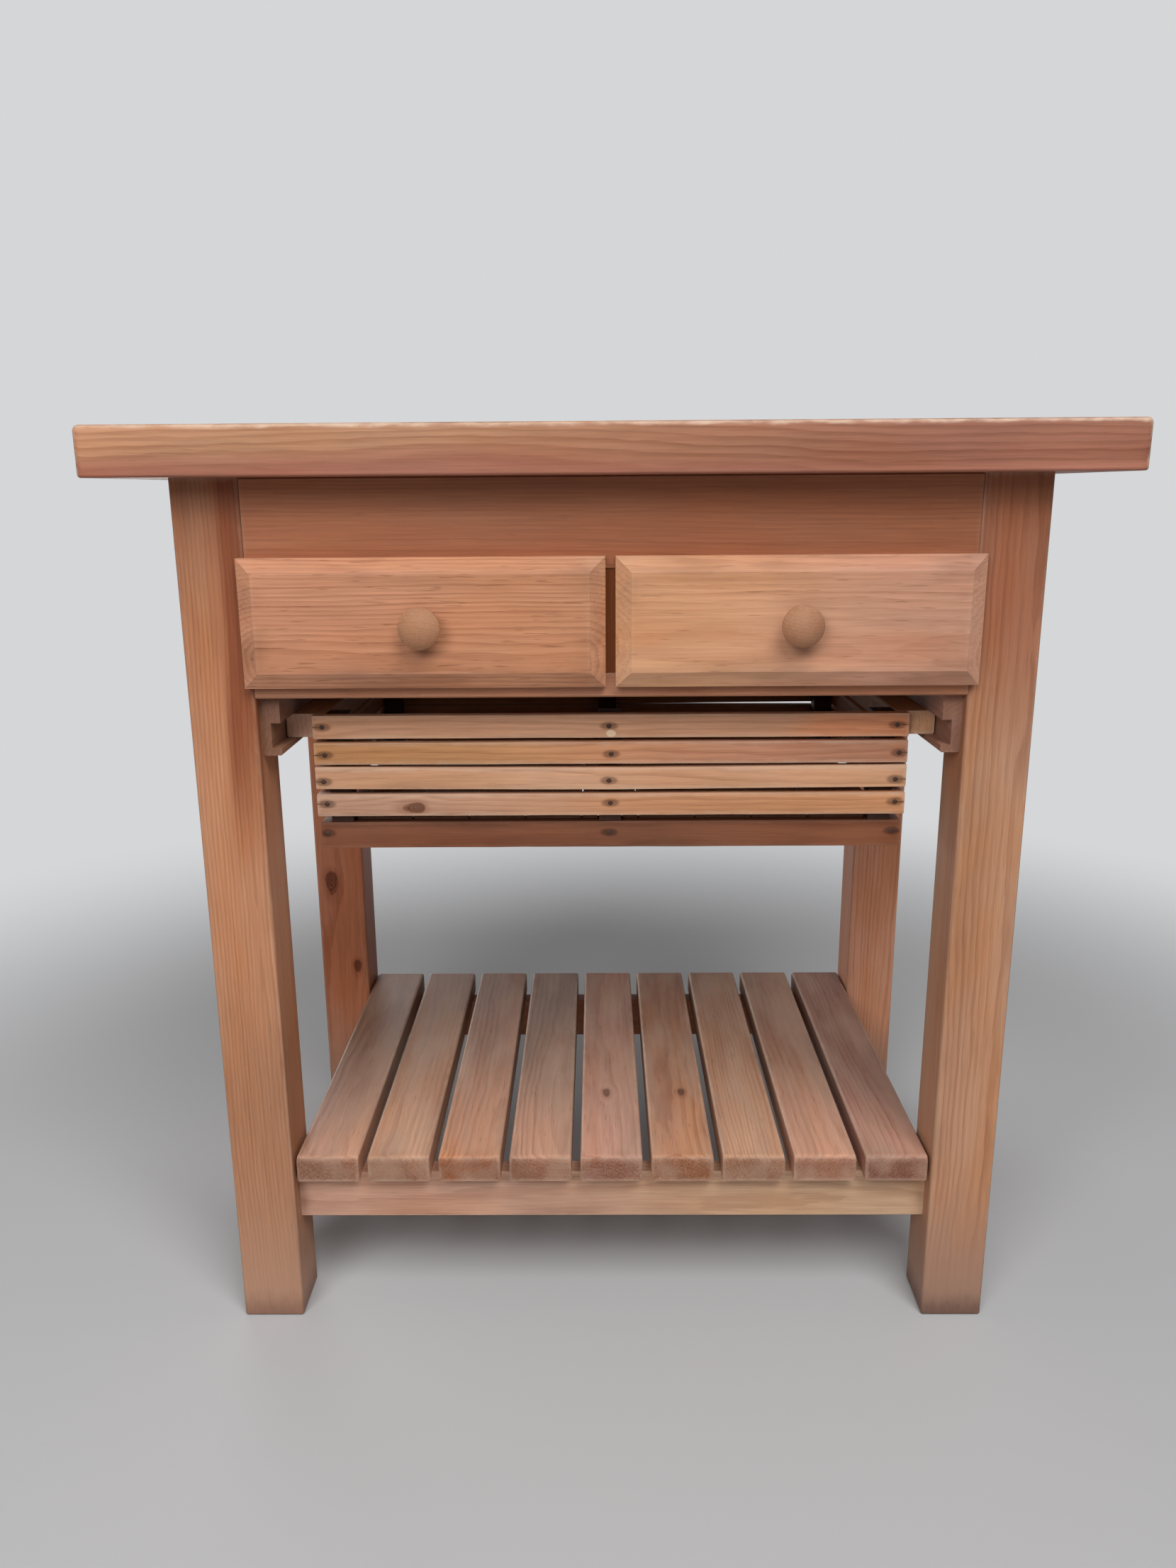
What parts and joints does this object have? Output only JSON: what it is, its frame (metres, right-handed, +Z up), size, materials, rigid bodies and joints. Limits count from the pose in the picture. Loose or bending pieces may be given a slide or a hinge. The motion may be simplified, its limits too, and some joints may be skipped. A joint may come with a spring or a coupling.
{
  "type": "kitchen table with drawers",
  "caption": "Rustic pine kitchen table: thick plank top, square legs, bevelled overlay drawers with turned knobs, a slatted pull-out crate in grooved runners and a low slatted shelf.",
  "frame": {"origin": "on the floor, under the middle of the table top", "axes": "+Z up, the front with the drawers faces -Y, +X to the right of someone who stands in front"},
  "size_m": [0.9, 0.56, 0.9],
  "materials": {
    "top_boards": "waxed pine, worn arrises",
    "legs": "waxed pine",
    "rails": "waxed pine",
    "drawer_fronts": "waxed pine, lighter",
    "knobs": "turned pine, waxed",
    "drawer_boxes": "bare planed pine",
    "crate_wood": "waxed pine slats",
    "shelf_slats": "greyed, worn pine",
    "inner_wood": "bare sawn pine"
  },
  "bodies": {
    "table_frame": {"back_apron": "rails", "crate_runner_left": "inner_wood", "crate_runner_right": "inner_wood", "drawer_divider": "rails", "drawer_kicker_centre": "inner_wood", "drawer_kicker_left": "inner_wood", "drawer_kicker_right": "inner_wood", "drawer_runner_centre": "inner_wood", "drawer_runner_left": "inner_wood", "drawer_runner_right": "inner_wood", "front_lower_rail": "rails", "front_upper_rail": "rails", "leg_back_left": "legs", "leg_back_right": "legs", "leg_front_left": "legs", "leg_front_right": "legs", "shelf_rail_back": "rails", "shelf_rail_front": "rails", "shelf_slat_1": "shelf_slats", "shelf_slat_2": "shelf_slats", "shelf_slat_3": "shelf_slats", "shelf_slat_4": "shelf_slats", "shelf_slat_5": "shelf_slats", "shelf_slat_6": "shelf_slats", "shelf_slat_7": "shelf_slats", "shelf_slat_8": "shelf_slats", "shelf_slat_9": "shelf_slats", "side_apron_left": "rails", "side_apron_right": "rails", "table_top_board_1": "top_boards", "table_top_board_2": "top_boards", "table_top_board_3": "top_boards", "table_top_board_4": "top_boards", "top_buttons": "inner_wood"},
    "drawer_left": {"drawer_left_back": "drawer_boxes", "drawer_left_bottom": "drawer_boxes", "drawer_left_front": "drawer_fronts", "drawer_left_inner_side": "drawer_boxes", "drawer_left_knob": "knobs", "drawer_left_outer_side": "drawer_boxes"},
    "drawer_right": {"drawer_right_back": "drawer_boxes", "drawer_right_bottom": "drawer_boxes", "drawer_right_front": "drawer_fronts", "drawer_right_inner_side": "drawer_boxes", "drawer_right_knob": "knobs", "drawer_right_outer_side": "drawer_boxes"},
    "crate": {"crate_back_posts": "crate_wood", "crate_back_slats": "crate_wood", "crate_bottom_rail_back": "crate_wood", "crate_bottom_rail_front": "crate_wood", "crate_bottom_rail_left": "crate_wood", "crate_bottom_rail_right": "crate_wood", "crate_floor_slats": "crate_wood", "crate_front_posts": "crate_wood", "crate_front_slats": "crate_wood", "crate_left_slats": "crate_wood", "crate_right_slats": "crate_wood", "crate_side_rail_left": "crate_wood", "crate_side_rail_right": "crate_wood"}
  },
  "joints": [
    {"name": "drawer_left_slide", "type": "slide", "parent": "table_frame", "child": "drawer_left", "axis": [0, -1, 0], "range_m": [0, 0.3]},
    {"name": "drawer_right_slide", "type": "slide", "parent": "table_frame", "child": "drawer_right", "axis": [0, -1, 0], "range_m": [0, 0.3]},
    {"name": "crate_slide", "type": "slide", "parent": "table_frame", "child": "crate", "axis": [0, -1, 0], "range_m": [0, 0.3]}
  ]
}
